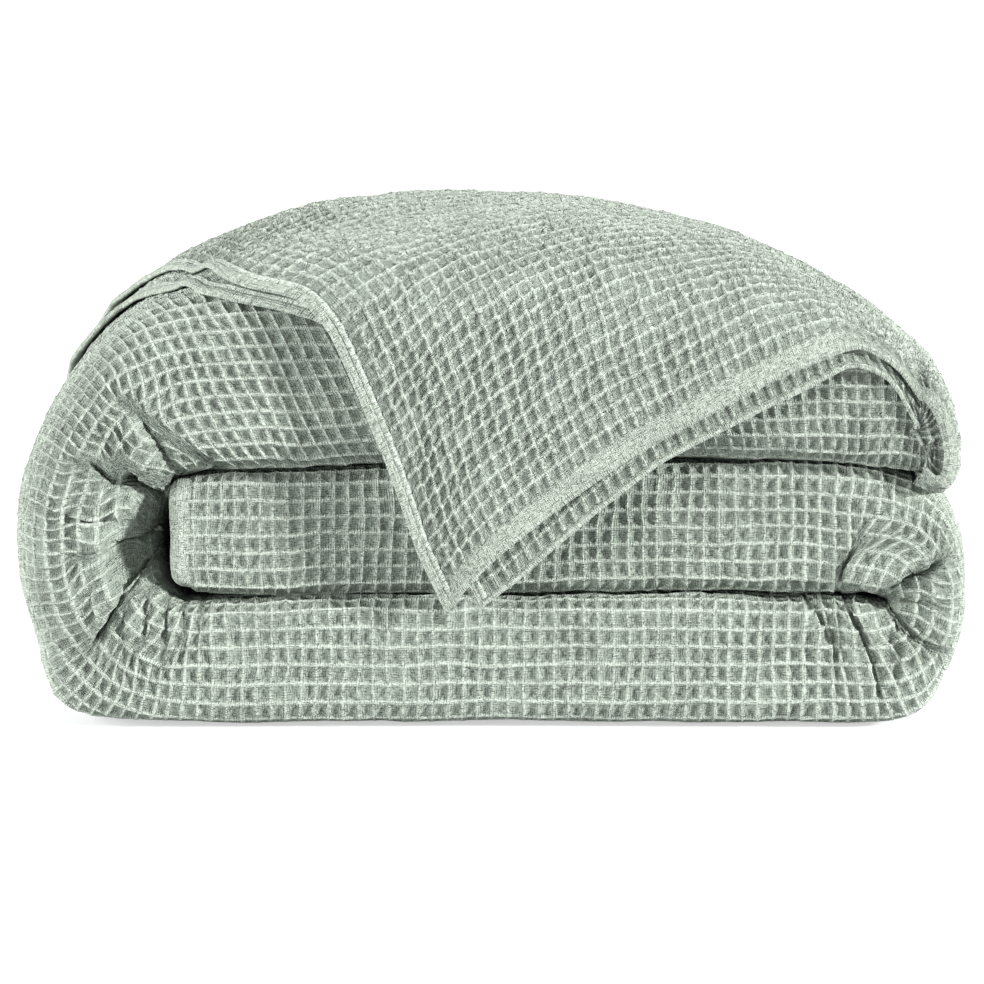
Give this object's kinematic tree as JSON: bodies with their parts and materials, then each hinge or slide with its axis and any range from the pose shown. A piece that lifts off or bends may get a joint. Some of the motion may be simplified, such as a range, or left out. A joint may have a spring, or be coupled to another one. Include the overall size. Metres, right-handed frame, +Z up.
{
  "type": "waffle weave cotton blanket",
  "caption": "Sage green waffle weave cotton blanket folded into a thick rolled stack, its last end laid back over the top with a corner hanging in front.",
  "frame": {"origin": "middle of the footprint, on the surface the folded blanket lies on", "axes": "+X along the folded stack, towards the end with the small turn; -Y towards the viewer, the side where the corner hangs; +Z up"},
  "size_m": [0.598, 0.4411, 0.3185],
  "materials": {
    "sage_cotton": "matte washed cotton in a waffle weave"
  },
  "bodies": {
    "root": {"blanket": "sage_cotton"}
  },
  "joints": []
}
